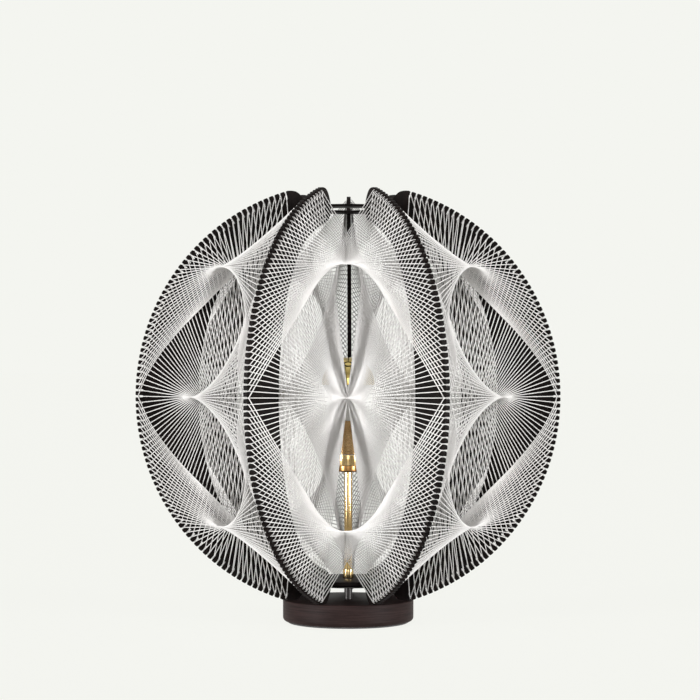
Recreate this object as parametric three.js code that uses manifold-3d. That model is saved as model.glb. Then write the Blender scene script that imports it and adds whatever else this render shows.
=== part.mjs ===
// Globe table lamp: seven notched wooden ribs strung with cord, around a stem that carries a crown-silvered bulb.
// Millimetres, +Z up, origin on the underside of the base at the lamp's axis, front of the photograph towards -Y.
import * as THREE from "three";
import { mergeVertices } from "three/addons/utils/BufferGeometryUtils.js";
import Module from "manifold-3d";

const wasm = await Module();
wasm.setup();
const { Manifold, Mesh } = wasm;

// The whole lamp
const axisRadius = 0;
const cageRadius = 245;
const ribCount = 7;
const clearance = 0.3;
const roundSteps = 32;
const smallSteps = 16;

// Ribs
const ribThickness = 4.5;
const lastNotch = 44;
const notchReachDegrees = 72.4;
const notchMouth = 4.2;
const notchDepth = 10.5;
const ribEdgeCentreShare = -0.58;
const ribEdgeRadiusShare = 1.29;
const ribEdgeTopShare = 0.44;
const ribEdgeSteps = 8;
const lobeShares = [
  [0.272, 0.957],
  [0.25, 0.953],
  [0.232, 0.94],
  [0.216, 0.918],
  [0.204, 0.893],
  [0.197, 0.868],
  [0.197, 0.85],
  [0.206, 0.832],
  [0.226, 0.81],
  [0.262, 0.792],
  [0.31, 0.778],
  [0.384, 0.745],
  [0.445, 0.709],
  [0.495, 0.666],
  [0.54, 0.612],
  [0.573, 0.558],
  [0.602, 0.504],
];
const lobeClearance = 0.5;

// Where the cage stands over the base, and its narrow waists at the ring and at the plate
const cageFootShare = 0.9530612245;
const ringSeatShare = 0.8816326531;
const plateSeatShare = 0.8559183673;
const waistShare = 0.197;

// Ring that ties the ribs at the top, and plate that carries them at the bottom
const ringGrip = 12.735;
const ringWidth = 26;
const ringThickness = 2.8;
const plateGrip = 3.735;
const plateThickness = 4.5;
const spacerRadius = 12;
const spacerThickness = 0.8;
const underDiscInset = 6;
const underDiscThickness = 1.4;

// Turned base with a felt pad, a recess for the nut and a cable inlet at the back
const baseRadius = 75;
const baseHeight = 26.5;
const baseTopRound = 1.2;
const baseFootRound = 5;
const roundShares = [0, 0.35, 0.7, 1];
const padInset = 6;
const padThickness = 1.2;
const recessRadius = 18;
const recessTopHeight = 15;
const nutWidth = 17;
const nutThickness = 6.5;
const nutSides = 6;
const washerRadius = 12;
const washerThickness = 1.6;
const inletHeight = 10;
const inletRadius = 4.3;
const inletStart = 14;
const bushWall = 1.3;
const bushFlangeOverlap = 2;
const bushFlangeThickness = 1.8;
const bushLength = 17;

// Hollow stem
const stemRadius = 4.6;
const stemWall = 1.5;
const nippleFootHeight = 4.5;
const nippleRise = 5.4;
const couplingWall = 1.4;
const couplingHeight = 10.4;
const couplingChamfer = 0.8;
const tubeLength = 122;

// Brass lampholder with a threaded skirt
const tubeInCap = 5.3;
const capHeight = 7.3;
const capInset = 4;
const capChamfer = 1.5;
const bandHeight = 12.1;
const bandOverSkirt = 0.6;
const bandWall = 1.2;
const bandFloor = 1.5;
const bandLip = 0.5;
const skirtOverNeck = 4.2;
const skirtPlay = 0.4;
const skirtWall = 0.9;
const skirtRidgeDepth = 0.6;
const skirtRidges = 13;
const insertHeight = 12.9;
const contactStemRadius = 2.1;
const contactStemLength = 9;
const contactHeadRadius = 5;
const contactHeadThickness = 1.2;
const socketPlay = 0.6;
const socketWall = 0.8;
const socketOverNeck = 0.6;

// Bulb
const mirrorRadius = 30.3;
const mirrorThickness = 0.6;
const mirrorDrop = 1.6;
const mirrorSteps = 6;
const glassWall = 1;
const glassSteps = 6;
const neckInset = 0.1;
const neckRise = 46.6;
const neckCurveShares = [
  [0, 0],
  [0.22, 0.06],
  [0.42, 0.22],
  [0.58, 0.44],
  [0.72, 0.66],
  [0.86, 0.86],
];
const screwCrestRadius = 13.1;
const screwRidgeDepth = 1;
const screwRidges = 6;
const screwHeight = 23.8;
const bulbInsulatorInset = 0.7;
const bulbInsulatorHeight = 3.9;
const bulbContactRadius = 4.7;
const bulbContactHeight = 1.8;
const contactPlay = 0.5;

// Cord: straight strings from notch to notch, joined behind the ribs into one length for each panel
const cordDiameter = 1.2;
const cordSides = 4;
const cordOffFace = 1;
const leftCrossSeat = 1.1;
const leftArcSeat = 2.7;
const rightArcSeat = 4.3;
const rightCrossSeat = 5.9;
const crossFirstNotch = 2;
const crossNotchStep = 4;
const crossStrings = 10;
const upperFirstNotch = 4;
const upperNotchStep = 8;
const upperStrings = 5;
const lowerFirstNotch = 1;
const lowerNotchStep = 8;
const lowerStrings = 6;

// Colours
const darkWood = 0x231816;
const baseWood = 0x3a2926;
const blackSteel = 0x1c1a1a;
const zincSteel = 0x9a9c9e;
const brass = 0xc59a4a;
const darkBrass = 0x7c5726;
const felt = 0x2a2a2c;
const porcelain = 0xece9e2;
const clearGlass = 0xdfe6e8;
const gold = 0xb8963a;
const cordWhite = 0xf2f0ec;
const blackPlastic = 0x151515;

const group = new THREE.Group();
const notchStep = THREE.MathUtils.degToRad(notchReachDegrees) / lastNotch;
const halfPanel = Math.PI / ribCount;

// The cage stands on the base, and its ring and plate sit in its waists
const cageCentreHeight = baseHeight + cageFootShare * cageRadius;
const ringTopHeight = cageCentreHeight + ringSeatShare * cageRadius;
const plateTopHeight = cageCentreHeight - plateSeatShare * cageRadius;
const waistRadius = waistShare * cageRadius;
const ringOuterRadius = waistRadius + ringGrip;
const ringInnerRadius = ringOuterRadius - ringWidth;
const plateRadius = waistRadius + plateGrip;

// A closed solid from a geometry, positions only
function solidOf(geometry) {
  const bare = new THREE.BufferGeometry();
  const loose = geometry.index ? geometry.toNonIndexed() : geometry;
  bare.setAttribute("position", loose.getAttribute("position"));
  const merged = mergeVertices(bare);
  const mesh = new Mesh({
    numProp: 3,
    vertProperties: merged.getAttribute("position").array,
    triVerts: new Uint32Array(merged.index.array),
  });
  return new Manifold(mesh);
}

function geometryOf(solid) {
  const mesh = solid.getMesh();
  const geometry = new THREE.BufferGeometry();
  geometry.setAttribute("position", new THREE.BufferAttribute(mesh.vertProperties, mesh.numProp));
  geometry.setIndex(new THREE.BufferAttribute(mesh.triVerts, 1));
  return geometry;
}

function addPart(name, geometry, color, metalness, roughness) {
  geometry.computeVertexNormals();
  const material = new THREE.MeshStandardMaterial({ color, metalness, roughness });
  const mesh = new THREE.Mesh(geometry, material);
  mesh.name = name;
  group.add(mesh);
}

// A turned solid about +Z from [radius, height] points that run anticlockwise round the section
function turned(points, steps) {
  const profile = points.map(([radius, height]) => new THREE.Vector2(radius, height));
  const geometry = new THREE.LatheGeometry(profile, steps);
  geometry.rotateX(Math.PI / 2);
  return geometry;
}

// A pipe or a ring: closed section between two radii and two heights
function sleeve(innerRadius, outerRadius, footHeight, topHeight, steps) {
  const section = [
    [innerRadius, footHeight],
    [outerRadius, footHeight],
    [outerRadius, topHeight],
    [innerRadius, topHeight],
    [innerRadius, footHeight],
  ];
  return turned(section, steps);
}

// A quarter round from one direction to the next, in points of a turned section
function quarterRound(centreRadius, centreHeight, round, outward, upward) {
  return roundShares.map((share) => {
    const turn = (share * Math.PI) / 2;
    return [
      centreRadius + outward * round * Math.sin(turn),
      centreHeight + upward * round * Math.cos(turn),
    ];
  });
}

// Base: felt pad, wooden disc, nut, washer and cable bush
const padRadius = baseRadius - padInset;
const padSection = [
  [axisRadius, 0],
  [padRadius, 0],
  [padRadius, padThickness],
  [axisRadius, padThickness],
];
addPart("base_pad", turned(padSection, roundSteps), felt, 0, 0.95);

const baseFootHeight = padThickness + clearance;
const stemHoleRadius = stemRadius + clearance;
const footCentre = [baseRadius - baseFootRound, baseFootHeight + baseFootRound];
const topCentre = [baseRadius - baseTopRound, baseHeight - baseTopRound];
const baseSection = [
  [stemHoleRadius, recessTopHeight],
  [recessRadius, recessTopHeight],
  [recessRadius, baseFootHeight],
  ...quarterRound(footCentre[0], footCentre[1], baseFootRound, 1, -1),
  ...quarterRound(topCentre[0], topCentre[1], baseTopRound, 1, 1).reverse(),
  [stemHoleRadius, baseHeight],
  [stemHoleRadius, recessTopHeight],
];
const baseBlank = solidOf(turned(baseSection, roundSteps));
const inletLength = baseRadius + bushFlangeThickness - inletStart;
const inletDrill = new THREE.CylinderGeometry(inletRadius, inletRadius, inletLength, smallSteps);
inletDrill.translate(0, inletStart + inletLength / 2, inletHeight);
addPart("base_disc", geometryOf(baseBlank.subtract(solidOf(inletDrill))), baseWood, 0, 0.55);

const bushOuterRadius = inletRadius - clearance;
const bushBoreRadius = bushOuterRadius - bushWall;
const bushFlangeRadius = inletRadius + bushFlangeOverlap;
const bushFlangeFoot = baseRadius + clearance;
const bushTip = bushFlangeFoot + bushFlangeThickness;
const bushSection = [
  [bushBoreRadius, bushTip - bushLength],
  [bushOuterRadius, bushTip - bushLength],
  [bushOuterRadius, bushFlangeFoot],
  [bushFlangeRadius, bushFlangeFoot],
  [bushFlangeRadius, bushTip],
  [bushBoreRadius, bushTip],
  [bushBoreRadius, bushTip - bushLength],
];
const bush = turned(bushSection, smallSteps);
bush.rotateX(-Math.PI / 2);
bush.translate(0, 0, inletHeight);
addPart("cable_bush", bush, blackPlastic, 0, 0.5);

const washerTopHeight = recessTopHeight - clearance;
const washerFootHeight = washerTopHeight - washerThickness;
const washer = sleeve(stemHoleRadius, washerRadius, washerFootHeight, washerTopHeight, smallSteps);
addPart("base_washer", washer, zincSteel, 1, 0.4);

const nutTopHeight = washerFootHeight - clearance;
const nutFootHeight = nutTopHeight - nutThickness;
const nutCornerRadius = nutWidth / 2 / Math.cos(Math.PI / nutSides);
const nutBlank = new THREE.CylinderGeometry(nutCornerRadius, nutCornerRadius, nutThickness, nutSides);
nutBlank.rotateX(Math.PI / 2);
nutBlank.translate(0, 0, nutFootHeight + nutThickness / 2);
const nutDrillFoot = nutFootHeight - nutThickness;
const nutDrillTop = nutTopHeight + nutThickness;
const nutDrillSection = [
  [axisRadius, nutDrillFoot],
  [stemHoleRadius, nutDrillFoot],
  [stemHoleRadius, nutDrillTop],
  [axisRadius, nutDrillTop],
];
const nutDrill = turned(nutDrillSection, smallSteps);
addPart("base_nut", geometryOf(solidOf(nutBlank).subtract(solidOf(nutDrill))), zincSteel, 1, 0.4);

// Stem: nipple through base and plate, coupling, brass tube
const stemBoreRadius = stemRadius - stemWall;
const nippleTopHeight = plateTopHeight + nippleRise;
const nipple = sleeve(stemBoreRadius, stemRadius, nippleFootHeight, nippleTopHeight, smallSteps);
addPart("stem_nipple", nipple, blackSteel, 1, 0.35);

const tubeFootHeight = nippleTopHeight + clearance;
const tubeTopHeight = tubeFootHeight + tubeLength;
const tube = sleeve(stemBoreRadius, stemRadius, tubeFootHeight, tubeTopHeight, smallSteps);
addPart("stem_tube", tube, brass, 1, 0.2);

const plateFootHeight = plateTopHeight - plateThickness;
const couplingFootHeight = plateTopHeight + clearance;
const couplingTopHeight = couplingFootHeight + couplingHeight;
const couplingRadius = stemHoleRadius + couplingWall;
const couplingSection = [
  [stemHoleRadius, couplingFootHeight],
  [couplingRadius, couplingFootHeight],
  [couplingRadius, couplingTopHeight - couplingChamfer],
  [couplingRadius - couplingChamfer, couplingTopHeight],
  [stemHoleRadius, couplingTopHeight],
  [stemHoleRadius, couplingFootHeight],
];
addPart("stem_coupling", turned(couplingSection, smallSteps), brass, 1, 0.25);

// Plate under the ribs, with a spacer and a thin disc below it, and the ring above
const plate = sleeve(stemHoleRadius, plateRadius, plateFootHeight, plateTopHeight, roundSteps);
addPart("lower_plate", plate, darkWood, 0, 0.6);

const spacerTopHeight = plateFootHeight - clearance;
const spacerFootHeight = spacerTopHeight - spacerThickness;
const spacer = sleeve(stemHoleRadius, spacerRadius, spacerFootHeight, spacerTopHeight, smallSteps);
addPart("plate_spacer", spacer, blackSteel, 1, 0.4);

const underTopHeight = spacerFootHeight - clearance;
const underFootHeight = underTopHeight - underDiscThickness;
const underDiscRadius = plateRadius - underDiscInset;
const underDisc = sleeve(stemHoleRadius, underDiscRadius, underFootHeight, underTopHeight, roundSteps);
addPart("under_disc", underDisc, blackSteel, 1, 0.45);

const ringFootHeight = ringTopHeight - ringThickness;
const ring = sleeve(ringInnerRadius, ringOuterRadius, ringFootHeight, ringTopHeight, roundSteps);
addPart("top_ring", ring, darkWood, 0, 0.6);

// Lampholder, built outwards from the bulb's screw and upwards from the stem
const socketInnerRadius = screwCrestRadius + socketPlay;
const socketOuterRadius = socketInnerRadius + socketWall;
const skirtInnerRadius = socketOuterRadius + skirtPlay;
const skirtRootRadius = skirtInnerRadius + skirtWall;
const skirtCrestRadius = skirtRootRadius + skirtRidgeDepth;
const bandRadius = skirtCrestRadius + bandOverSkirt;
const capRadius = bandRadius - capInset;
const capFootHeight = tubeTopHeight - tubeInCap;
const capTopHeight = capFootHeight + capHeight;
const capSection = [
  [stemHoleRadius, capFootHeight],
  [capRadius - capChamfer, capFootHeight],
  [capRadius, capFootHeight + capChamfer],
  [capRadius, capTopHeight],
  [stemHoleRadius, capTopHeight],
  [stemHoleRadius, capFootHeight],
];
addPart("holder_cap", turned(capSection, roundSteps), darkBrass, 1, 0.35);

const bandFootHeight = capTopHeight + clearance;
const bandTopHeight = bandFootHeight + bandHeight;
const bandInnerRadius = bandRadius - bandWall;
const bandSection = [
  [stemHoleRadius, bandFootHeight],
  [bandRadius, bandFootHeight],
  [bandRadius, bandTopHeight - bandLip],
  [bandRadius - bandLip, bandTopHeight],
  [bandInnerRadius, bandTopHeight],
  [bandInnerRadius, bandFootHeight + bandFloor],
  [stemHoleRadius, bandFootHeight + bandFloor],
  [stemHoleRadius, bandFootHeight],
];
addPart("holder_band", turned(bandSection, roundSteps), brass, 1, 0.15);

// A ridged outside from foot to top: root, crest, crest, root for each ridge
function ridges(rootRadius, crestRadius, footHeight, topHeight, count) {
  const pitch = (topHeight - footHeight) / count;
  const points = [];
  for (let ridge = 0; ridge < count; ridge++) {
    const start = footHeight + ridge * pitch;
    points.push([rootRadius, start]);
    points.push([crestRadius, start + pitch / 2]);
  }
  points.push([rootRadius, topHeight]);
  return points;
}

// The heights of the contacts and of the screw settle where the neck of the bulb starts
const insertFootHeight = bandFootHeight + bandFloor + clearance;
const insertTopHeight = insertFootHeight + insertHeight;
const contactHeadFoot = insertTopHeight + clearance;
const contactHeadTop = contactHeadFoot + contactHeadThickness;
const bulbContactFootHeight = contactHeadTop + contactPlay;
const bulbContactTop = bulbContactFootHeight + bulbContactHeight;
const bulbInsulatorFootHeight = bulbContactTop + clearance;
const insulatorTopHeight = bulbInsulatorFootHeight + bulbInsulatorHeight;
const screwFootHeight = insulatorTopHeight + clearance;
const screwTopHeight = screwFootHeight + screwHeight;
const neckFootHeight = screwTopHeight + clearance;

const skirtFootHeight = bandTopHeight + clearance;
const skirtTopHeight = neckFootHeight + skirtOverNeck;
const skirtSection = [
  [skirtInnerRadius, skirtFootHeight],
  ...ridges(skirtRootRadius, skirtCrestRadius, skirtFootHeight, skirtTopHeight, skirtRidges),
  [skirtInnerRadius, skirtTopHeight],
  [skirtInnerRadius, skirtFootHeight],
];
addPart("holder_skirt", turned(skirtSection, smallSteps), brass, 1, 0.3);

const insertBoreRadius = contactStemRadius + clearance;
const insert = sleeve(insertBoreRadius, socketOuterRadius, insertFootHeight, insertTopHeight, smallSteps);
addPart("holder_insert", insert, porcelain, 0, 0.35);

const contactSection = [
  [axisRadius, contactHeadFoot - contactStemLength],
  [contactStemRadius, contactHeadFoot - contactStemLength],
  [contactStemRadius, contactHeadFoot],
  [contactHeadRadius, contactHeadFoot],
  [contactHeadRadius, contactHeadTop],
  [axisRadius, contactHeadTop],
];
addPart("holder_contact", turned(contactSection, smallSteps), brass, 1, 0.3);

const socketFootHeight = insertTopHeight + clearance;
const socketTopHeight = neckFootHeight + socketOverNeck;
const socket = sleeve(
  socketInnerRadius,
  socketOuterRadius,
  socketFootHeight,
  socketTopHeight,
  smallSteps,
);
addPart("holder_socket", socket, brass, 1, 0.3);

// Bulb: contact, insulator, screw cap, glass and gold crown
const bulbContactSection = [
  [axisRadius, bulbContactFootHeight],
  [bulbContactRadius, bulbContactFootHeight],
  [bulbContactRadius, bulbContactTop],
  [axisRadius, bulbContactTop],
];
addPart("bulb_contact", turned(bulbContactSection, smallSteps), zincSteel, 1, 0.3);

const screwRootRadius = screwCrestRadius - screwRidgeDepth;
const bulbInsulatorRadius = screwRootRadius - bulbInsulatorInset;
const insulatorSection = [
  [axisRadius, bulbInsulatorFootHeight],
  [bulbContactRadius, bulbInsulatorFootHeight],
  [bulbInsulatorRadius, insulatorTopHeight],
  [axisRadius, insulatorTopHeight],
];
addPart("bulb_insulator", turned(insulatorSection, smallSteps), blackPlastic, 0, 0.25);

const screwSection = [
  [axisRadius, screwFootHeight],
  ...ridges(screwRootRadius, screwCrestRadius, screwFootHeight, screwTopHeight, screwRidges),
  [axisRadius, screwTopHeight],
];
addPart("bulb_screw", turned(screwSection, smallSteps), zincSteel, 1, 0.25);

const globeCentreHeight = neckFootHeight + neckRise;
const glassRadius = mirrorRadius - mirrorThickness - clearance;
const neckRadius = screwCrestRadius - neckInset;
function glassOutline(offset) {
  const neck = neckCurveShares.map(([heightShare, widthShare]) => [
    neckRadius - offset + widthShare * (glassRadius - neckRadius),
    neckFootHeight + heightShare * neckRise,
  ]);
  const dome = [];
  for (let step = 0; step <= glassSteps; step++) {
    const turn = ((step / glassSteps) * Math.PI) / 2;
    const radius = step === glassSteps ? axisRadius : (glassRadius - offset) * Math.cos(turn);
    dome.push([radius, globeCentreHeight + (glassRadius - offset) * Math.sin(turn)]);
  }
  return [...neck, ...dome];
}
const glassSection = [...glassOutline(glassWall).reverse(), ...glassOutline(0)];
addPart("bulb_glass", turned(glassSection, smallSteps), clearGlass, 0, 0.05);

const mirrorInnerRadius = mirrorRadius - mirrorThickness;
const mirrorFootHeight = globeCentreHeight - mirrorDrop;
function crownArc(radius) {
  const startTurn = Math.asin((mirrorFootHeight - globeCentreHeight) / radius);
  const arc = [];
  for (let step = 0; step <= mirrorSteps; step++) {
    const turn = startTurn + (step / mirrorSteps) * (Math.PI / 2 - startTurn);
    const across = step === mirrorSteps ? axisRadius : radius * Math.cos(turn);
    arc.push([across, globeCentreHeight + radius * Math.sin(turn)]);
  }
  return arc;
}
const mirrorSection = [
  ...crownArc(mirrorInnerRadius).reverse(),
  ...crownArc(mirrorRadius),
];
addPart("bulb_mirror", turned(mirrorSection, smallSteps), gold, 1, 0.12);

// Ribs: outline in the plane of the rib, radius across and height up from the globe's centre
function onCage(angle, radius) {
  return [radius * Math.cos(angle), radius * Math.sin(angle)];
}

function ribOutline() {
  const mouthAngle = notchMouth / 2 / cageRadius;
  const outer = [];
  for (let notch = -lastNotch; notch <= lastNotch; notch++) {
    const angle = notch * notchStep;
    outer.push(onCage(angle - mouthAngle, cageRadius));
    outer.push(onCage(angle, cageRadius - notchDepth));
    outer.push(onCage(angle + mouthAngle, cageRadius));
  }
  const lobe = lobeShares.map(([across, up]) => [across * cageRadius, up * cageRadius]);
  const edge = [];
  for (let step = 0; step <= ribEdgeSteps; step++) {
    const up = ribEdgeTopShare * (1 - (2 * step) / ribEdgeSteps);
    const across = ribEdgeCentreShare + Math.sqrt(ribEdgeRadiusShare ** 2 - up ** 2);
    edge.push([across * cageRadius, up * cageRadius]);
  }
  const lowerLobe = lobe.map(([across, up]) => [across, -up]).reverse();
  const lowest = baseHeight + lobeClearance - cageCentreHeight;
  const all = [...outer, ...lobe, ...edge, ...lowerLobe];
  return all.map(([across, up]) => new THREE.Vector2(across, Math.max(up, lowest)));
}

function slotCutter(outerRadius, footHeight, topHeight) {
  const width = outerRadius + clearance;
  const height = topHeight - footHeight + 2 * clearance;
  const cutter = new THREE.BoxGeometry(width, 2 * ribThickness, height);
  const middle = (footHeight + topHeight) / 2 - cageCentreHeight;
  cutter.translate(width / 2, 0, middle);
  return solidOf(cutter);
}

const ribShape = new THREE.Shape(ribOutline());
const ribBlank = new THREE.ExtrudeGeometry(ribShape, { depth: ribThickness, bevelEnabled: false });
ribBlank.rotateX(Math.PI / 2);
ribBlank.translate(0, ribThickness / 2, 0);
const ribSolid = solidOf(ribBlank)
  .subtract(slotCutter(ringOuterRadius, ringFootHeight, ringTopHeight))
  .subtract(slotCutter(plateRadius, plateFootHeight, plateTopHeight));

for (let rib = 0; rib < ribCount; rib++) {
  const turn = (2 * rib + 1) * halfPanel - Math.PI / 2;
  const geometry = geometryOf(ribSolid);
  geometry.rotateZ(turn);
  geometry.translate(0, 0, cageCentreHeight);
  addPart("rib_" + (rib + 1), geometry, darkWood, 0, 0.55);
}

// Strings of one panel: each has a notch and a seat depth on its left rib and on its right rib
function panelStrings() {
  const strings = [];
  for (let index = 0; index < crossStrings; index++) {
    const side = index % 2 === 0 ? 1 : -1;
    const notch = side * (crossFirstNotch + index * crossNotchStep);
    strings.push({ left: notch, right: -notch, leftSeat: leftCrossSeat, rightSeat: rightCrossSeat });
  }
  for (let index = 0; index < upperStrings; index++) {
    const notch = upperFirstNotch + index * upperNotchStep;
    const far = lastNotch - notch;
    strings.push({ left: notch, right: far, leftSeat: leftArcSeat, rightSeat: rightArcSeat });
  }
  for (let index = 0; index < lowerStrings; index++) {
    const notch = lowerFirstNotch + index * lowerNotchStep;
    const far = lastNotch - notch;
    strings.push({ left: -notch, right: -far, leftSeat: leftArcSeat, rightSeat: rightArcSeat });
  }
  return strings;
}

// Neighbouring ends on one rib are joined in pairs, all but one free end
function pairEnds(strings, end, freeRank) {
  const ranked = strings.map((string, index) => index);
  ranked.sort((one, other) => strings[one][end] - strings[other][end]);
  const free = ranked.splice(freeRank, 1)[0];
  const partner = new Map();
  for (let rank = 0; rank + 1 < ranked.length; rank += 2) {
    partner.set(ranked[rank], ranked[rank + 1]);
    partner.set(ranked[rank + 1], ranked[rank]);
  }
  return { free, partner };
}

// The order in which one unbroken cord runs through every string of the panel
function cordOrder(strings) {
  for (let leftRank = 0; leftRank < strings.length; leftRank += 2) {
    for (let rightRank = 0; rightRank < strings.length; rightRank += 2) {
      const left = pairEnds(strings, "left", leftRank);
      const right = pairEnds(strings, "right", rightRank);
      const order = [left.free];
      let atRight = true;
      for (let pass = 1; pass < strings.length; pass++) {
        const partner = atRight ? right.partner : left.partner;
        const next = partner.get(order[order.length - 1]);
        if (next === undefined) break;
        order.push(next);
        atRight = !atRight;
      }
      if (order.length === strings.length) return order;
    }
  }
  throw new Error("the strings of a panel don't join into one cord");
}

// A point beside a notch: ahead of the rib's face on the panel's side, or behind its other face
function seatPoint(side, notch, seat, offset) {
  const azimuth = side * halfPanel;
  const [across, up] = onCage(notch * notchStep, cageRadius - seat);
  const along = -side * offset;
  return new THREE.Vector3(
    across * Math.sin(azimuth) + along * Math.cos(azimuth),
    -across * Math.cos(azimuth) + along * Math.sin(azimuth),
    up + cageCentreHeight,
  );
}

function cordPath() {
  const strings = panelStrings();
  const offset = ribThickness / 2 + cordOffFace;
  const points = [];
  cordOrder(strings).forEach((index, pass) => {
    const string = strings[index];
    const leftEnd = [
      seatPoint(-1, string.left, string.leftSeat, -offset),
      seatPoint(-1, string.left, string.leftSeat, offset),
    ];
    const rightEnd = [
      seatPoint(1, string.right, string.rightSeat, offset),
      seatPoint(1, string.right, string.rightSeat, -offset),
    ];
    const run = [...leftEnd, ...rightEnd];
    points.push(...(pass % 2 === 0 ? run : run.reverse()));
  });
  return points;
}

// Least distance between two straight lengths
function lengthGap(start, end, otherStart, otherEnd) {
  const run = end.clone().sub(start);
  const otherRun = otherEnd.clone().sub(otherStart);
  const between = start.clone().sub(otherStart);
  const runSquare = run.dot(run);
  const otherSquare = otherRun.dot(otherRun);
  const runBetween = run.dot(between);
  const otherBetween = otherRun.dot(between);
  const cross = run.dot(otherRun);
  const spread = runSquare * otherSquare - cross * cross;
  let share = spread > 0 ? (cross * otherBetween - runBetween * otherSquare) / spread : 0;
  share = THREE.MathUtils.clamp(share, 0, 1);
  let otherShare = (cross * share + otherBetween) / otherSquare;
  if (otherShare < 0) share = THREE.MathUtils.clamp(-runBetween / runSquare, 0, 1);
  if (otherShare > 1) share = THREE.MathUtils.clamp((cross - runBetween) / runSquare, 0, 1);
  otherShare = THREE.MathUtils.clamp(otherShare, 0, 1);
  const point = start.clone().addScaledVector(run, share);
  const otherPoint = otherStart.clone().addScaledVector(otherRun, otherShare);
  return point.distanceTo(otherPoint);
}

function leastGap(path) {
  let least = Infinity;
  for (let one = 0; one + 1 < path.length; one++) {
    for (let other = one + 2; other + 1 < path.length; other++) {
      const between = lengthGap(path[one], path[one + 1], path[other], path[other + 1]);
      least = Math.min(least, between);
    }
  }
  return least - cordDiameter;
}

// A tube with mitred corners along straight lengths
function cordTube(path) {
  const radius = cordDiameter / 2;
  const firstRun = path[1].clone().sub(path[0]).normalize();
  const lift = new THREE.Vector3(0, 0, 1);
  const sideways = new THREE.Vector3().crossVectors(firstRun, lift).normalize();
  const upwards = new THREE.Vector3().crossVectors(sideways, firstRun);
  let ring = [];
  for (let side = 0; side < cordSides; side++) {
    const turn = (2 * Math.PI * side) / cordSides;
    const corner = path[0].clone();
    corner.addScaledVector(sideways, radius * Math.cos(turn));
    corner.addScaledVector(upwards, radius * Math.sin(turn));
    ring.push(corner);
  }
  const corners = [...ring];
  for (let index = 1; index < path.length; index++) {
    const here = path[index];
    const run = here.clone().sub(path[index - 1]).normalize();
    const next = index + 1 < path.length ? path[index + 1].clone().sub(here).normalize() : run;
    const mitre = run.clone().add(next).normalize();
    ring = ring.map((corner) => {
      const travel = here.clone().sub(corner).dot(mitre) / run.dot(mitre);
      return corner.clone().addScaledVector(run, travel);
    });
    corners.push(...ring);
  }
  const triangles = [];
  for (let index = 0; index + 1 < path.length; index++) {
    for (let side = 0; side < cordSides; side++) {
      const near = index * cordSides + side;
      const nearNext = index * cordSides + ((side + 1) % cordSides);
      triangles.push(near, near + cordSides, nearNext);
      triangles.push(nearNext, near + cordSides, nearNext + cordSides);
    }
  }
  const lastRing = (path.length - 1) * cordSides;
  for (let side = 1; side + 1 < cordSides; side++) {
    triangles.push(0, side, side + 1);
    triangles.push(lastRing, lastRing + side + 1, lastRing + side);
  }
  const geometry = new THREE.BufferGeometry().setFromPoints(corners);
  geometry.setIndex(triangles);
  return geometry;
}

const cordCentre = cordPath();
console.log("least gap of the cord to itself, mm:", leastGap(cordCentre).toFixed(3));
for (let panel = 0; panel < ribCount; panel++) {
  const geometry = cordTube(cordCentre);
  geometry.rotateZ(2 * panel * halfPanel);
  addPart("cord_panel_" + (panel + 1), geometry, cordWhite, 0, 0.5);
}

export default group;
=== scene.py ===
import math
import bpy
import bmesh
from mathutils import Matrix, Vector


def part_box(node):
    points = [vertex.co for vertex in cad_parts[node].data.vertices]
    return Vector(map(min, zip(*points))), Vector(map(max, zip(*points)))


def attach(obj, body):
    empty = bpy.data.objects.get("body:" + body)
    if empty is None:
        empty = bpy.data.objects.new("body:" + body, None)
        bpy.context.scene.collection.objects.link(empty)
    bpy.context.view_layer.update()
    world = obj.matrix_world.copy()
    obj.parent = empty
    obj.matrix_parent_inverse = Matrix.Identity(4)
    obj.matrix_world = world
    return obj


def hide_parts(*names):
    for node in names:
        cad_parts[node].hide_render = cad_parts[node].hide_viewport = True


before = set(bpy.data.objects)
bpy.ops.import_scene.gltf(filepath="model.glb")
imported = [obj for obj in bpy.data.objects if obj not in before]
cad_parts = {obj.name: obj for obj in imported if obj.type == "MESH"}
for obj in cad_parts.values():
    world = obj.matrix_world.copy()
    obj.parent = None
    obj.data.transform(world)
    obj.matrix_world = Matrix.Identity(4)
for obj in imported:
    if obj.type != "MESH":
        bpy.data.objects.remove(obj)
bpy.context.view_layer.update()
scene = bpy.context.scene
MM = 0.001


# Sizes of the lamp, in metres
RIB_COUNT = 7
HALF_PANEL = math.pi / RIB_COUNT
CAGE_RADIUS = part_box("rib_4")[1].y
CAGE_CENTRE = 260 * MM
RIB_THICKNESS = 4.5 * MM
RIB_EDGE = 0.45 * MM
LAST_NOTCH = 44
NOTCH_STEP = math.radians(72.4) / LAST_NOTCH
NOTCH_DEPTH = 8.8 * MM
NOTCH_WIDTH = 2.3 * MM
NOTCH_FLARE = 0.7 * MM
CORD_RADIUS = 0.55 * MM
CORD_SIDES = 6

# Camera
CAMERA_DISTANCE = 2.45
CAMERA_HEIGHT = 0.2874
CAMERA_TURN = math.radians(0.46)
CAMERA_LENS = 109.54
CAMERA_SENSOR = 36
CAMERA_SHIFT = (0.00253, 0.0313)
CAMERA_REACH = 2000

camera_data = bpy.data.cameras.new("camera")
camera_data.sensor_width = CAMERA_SENSOR
camera_data.lens = CAMERA_LENS
camera_data.shift_x, camera_data.shift_y = CAMERA_SHIFT
camera_data.clip_end = CAMERA_REACH
camera = bpy.data.objects.new("camera", camera_data)
camera.location = (
    CAMERA_DISTANCE * math.sin(CAMERA_TURN),
    -CAMERA_DISTANCE * math.cos(CAMERA_TURN),
    CAMERA_HEIGHT,
)
camera.rotation_euler = (math.pi / 2, 0, CAMERA_TURN)
scene.collection.objects.link(camera)
scene.camera = camera


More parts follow.
